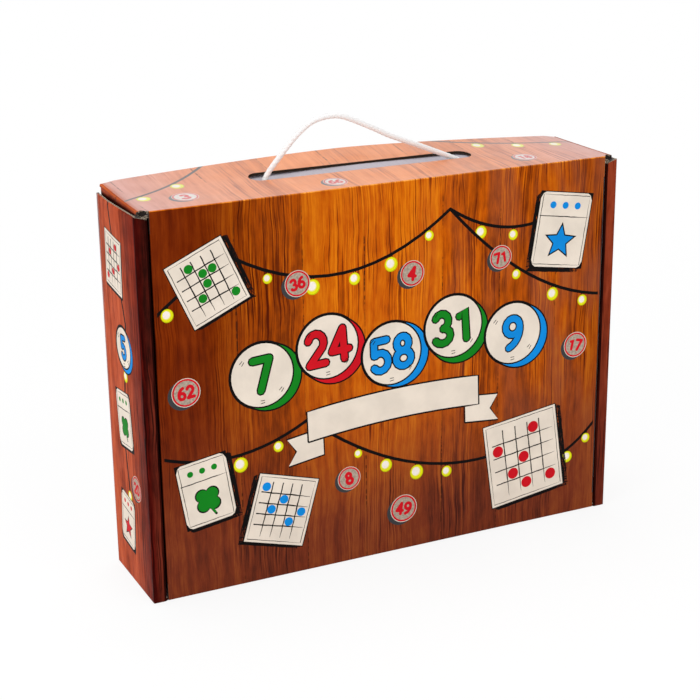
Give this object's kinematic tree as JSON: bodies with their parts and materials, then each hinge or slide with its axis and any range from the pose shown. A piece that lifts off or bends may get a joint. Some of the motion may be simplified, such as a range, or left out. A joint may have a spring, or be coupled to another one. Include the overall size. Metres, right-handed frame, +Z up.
{
  "type": "bingo game carton",
  "caption": "Folded corrugated carrying case of a bingo game, with a rope handle, a hinged front lid, a slotted closing flap, and its cards, number discs and chips inside.",
  "frame": {"origin": "middle of the carton's base, on the surface it stands on", "axes": "+X to the right along the carton's width, -Y the front with the lid, +Z up"},
  "size_m": [0.32, 0.068, 0.2772],
  "materials": {
    "print_front": "laminated offset print on micro-corrugated board, satin",
    "print_side": "laminated offset print on micro-corrugated board, satin",
    "print_top": "laminated offset print on micro-corrugated board, satin",
    "plain_board": "unprinted grey-white inner liner of the corrugated board, matte",
    "rope": "twisted white polypropylene rope",
    "game_board": "solid grey board with a printed sheet, satin",
    "card": "solid card with a printed face, satin",
    "paper_sheet": "plain offset paper",
    "bag_cloth": "woven cotton",
    "bag_cord": "twisted cotton cord",
    "disc_board": "die-cut solid board with a printed face",
    "clear_film": "clear polyethylene film",
    "chip_red": "moulded plastic",
    "chip_green": "moulded plastic",
    "chip_blue": "moulded plastic"
  },
  "bodies": {
    "tray": {"back_panel": "print_side", "bottom_wall": "print_side", "top_wall": "plain_board", "left_outer_wall": "print_side", "right_outer_wall": "print_side", "left_rolled_edge": "print_side", "right_rolled_edge": "print_side", "left_inner_wall": "plain_board", "right_inner_wall": "plain_board", "left_top_tab": "plain_board", "right_top_tab": "plain_board", "left_bottom_tab": "plain_board", "right_bottom_tab": "plain_board", "rope_handle": "rope", "rope_knots": "rope", "caller_board": "game_board", "bingo_cards": "card", "rules_leaflet": "paper_sheet", "disc_bag": "bag_cloth", "bag_cord": "bag_cord", "number_discs": "disc_board", "chip_bag": "clear_film", "red_chips": "chip_red", "green_chips": "chip_green", "blue_chips": "chip_blue"},
    "lid": {"lid_panel": "print_front"},
    "dust_left": {"left_dust_flap": "plain_board"},
    "dust_right": {"right_dust_flap": "plain_board"},
    "flap": {"closing_flap": "print_top", "left_lip": "print_side", "right_lip": "print_side"},
    "ear_left": {"left_ear": "print_side"},
    "ear_right": {"right_ear": "print_side"}
  },
  "joints": [
    {"name": "lid_swing", "type": "hinge", "parent": "tray", "child": "lid", "pos_m": [0, -0.034, 0], "axis": [1, 0, 0], "range_deg": [0, 90]},
    {"name": "flap_lift", "type": "hinge", "parent": "lid", "child": "flap", "pos_m": [0, -0.034, 0.24], "axis": [1, 0, 0], "range_deg": [0, 81]},
    {"name": "left_ear_fold", "type": "hinge", "parent": "flap", "child": "ear_left", "pos_m": [-0.1576, 0.0048, 0.24034], "axis": [0, 0.9988, 0.0499], "range_deg": [0, 22.5]},
    {"name": "right_ear_fold", "type": "hinge", "parent": "flap", "child": "ear_right", "pos_m": [0.1576, 0.0048, 0.23851], "axis": [0, -1, -0.0029], "range_deg": [0, 22.5]},
    {"name": "left_dust_fold", "type": "hinge", "parent": "lid", "child": "dust_left", "pos_m": [-0.1492, -0.0324, 0.12], "axis": [0, 0, -1], "range_deg": [0, 90]},
    {"name": "right_dust_fold", "type": "hinge", "parent": "lid", "child": "dust_right", "pos_m": [0.1492, -0.0324, 0.12], "axis": [0, 0, 1], "range_deg": [0, 90]}
  ],
  "couplings": [
    {"joint": "flap_lift", "follows": "lid_swing", "ratio": 0.9},
    {"joint": "left_ear_fold", "follows": "lid_swing", "ratio": 0.25},
    {"joint": "right_ear_fold", "follows": "lid_swing", "ratio": 0.25}
  ]
}
